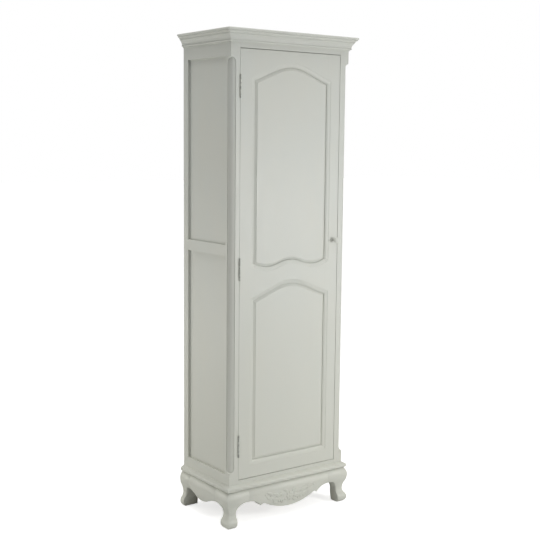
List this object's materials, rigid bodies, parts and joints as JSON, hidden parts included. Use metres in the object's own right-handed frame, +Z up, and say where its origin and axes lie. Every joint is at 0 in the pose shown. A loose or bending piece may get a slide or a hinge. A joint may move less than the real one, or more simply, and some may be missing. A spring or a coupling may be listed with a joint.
{
  "type": "bonnetiere cabinet",
  "caption": "Tall narrow painted cupboard with one hinged door of arched raised panels, a cove cornice, shelves inside and a low ogee base with shaped aprons.",
  "frame": {"origin": "On the floor, under the middle of the whole outline (the cornice across, and the front of the cornice to the back of the case in depth).", "axes": "+X to the right of someone who faces the door, +Y to the back, +Z up."},
  "size_m": [0.596, 0.348, 1.825],
  "materials": {
    "painted_wood": "aged off-white satin paint",
    "knob_paint": "off-white satin paint",
    "inner_wood": "thin off-white wash over softwood",
    "plywood": "bare plywood",
    "hinge_metal": "dull aged steel",
    "strike_steel": "dull zinc-plated steel",
    "catch_plastic": "brown moulded plastic"
  },
  "bodies": {
    "case": {"apron_front": "painted_wood", "apron_left": "painted_wood", "apron_right": "painted_wood", "back_left_leg": "painted_wood", "back_left_post": "painted_wood", "back_panel": "plywood", "back_right_leg": "painted_wood", "back_right_post": "painted_wood", "back_top_rail": "inner_wood", "base_back_rail": "inner_wood", "case_floor": "inner_wood", "case_top": "inner_wood", "catch_body": "catch_plastic", "cornice_front": "painted_wood", "cornice_left": "painted_wood", "cornice_right": "painted_wood", "cornice_top": "painted_wood", "front_bottom_rail": "painted_wood", "front_left_leg": "painted_wood", "front_left_post": "painted_wood", "front_right_leg": "painted_wood", "front_right_post": "painted_wood", "front_top_rail": "painted_wood", "hinge_lower_frame_leaf": "hinge_metal", "hinge_middle_frame_leaf": "hinge_metal", "hinge_upper_frame_leaf": "hinge_metal", "left_bottom_rail": "painted_wood", "left_lower_panel": "painted_wood", "left_middle_rail": "painted_wood", "left_top_rail": "painted_wood", "left_upper_panel": "painted_wood", "right_bottom_rail": "painted_wood", "right_lower_panel": "painted_wood", "right_middle_rail": "painted_wood", "right_top_rail": "painted_wood", "right_upper_panel": "painted_wood", "shelf_bearers": "inner_wood", "shelf_lower": "inner_wood", "shelf_middle": "inner_wood", "shelf_upper": "inner_wood", "waist_front": "painted_wood", "waist_left": "painted_wood", "waist_right": "painted_wood"},
    "door": {"door_hinge_stile": "painted_wood", "door_lock_stile": "painted_wood", "door_top_rail": "painted_wood", "door_middle_rail": "painted_wood", "door_bottom_rail": "painted_wood", "door_upper_panel": "painted_wood", "door_lower_panel": "painted_wood", "hinge_upper_door_leaf": "hinge_metal", "hinge_middle_door_leaf": "hinge_metal", "hinge_lower_door_leaf": "hinge_metal", "door_knob": "knob_paint", "catch_strike": "strike_steel"}
  },
  "joints": [
    {"name": "door_swing", "type": "hinge", "parent": "case", "child": "door", "pos_m": [-0.23, -0.1489, 0.97], "axis": [0, 0, -1], "range_deg": [0, 175]}
  ]
}
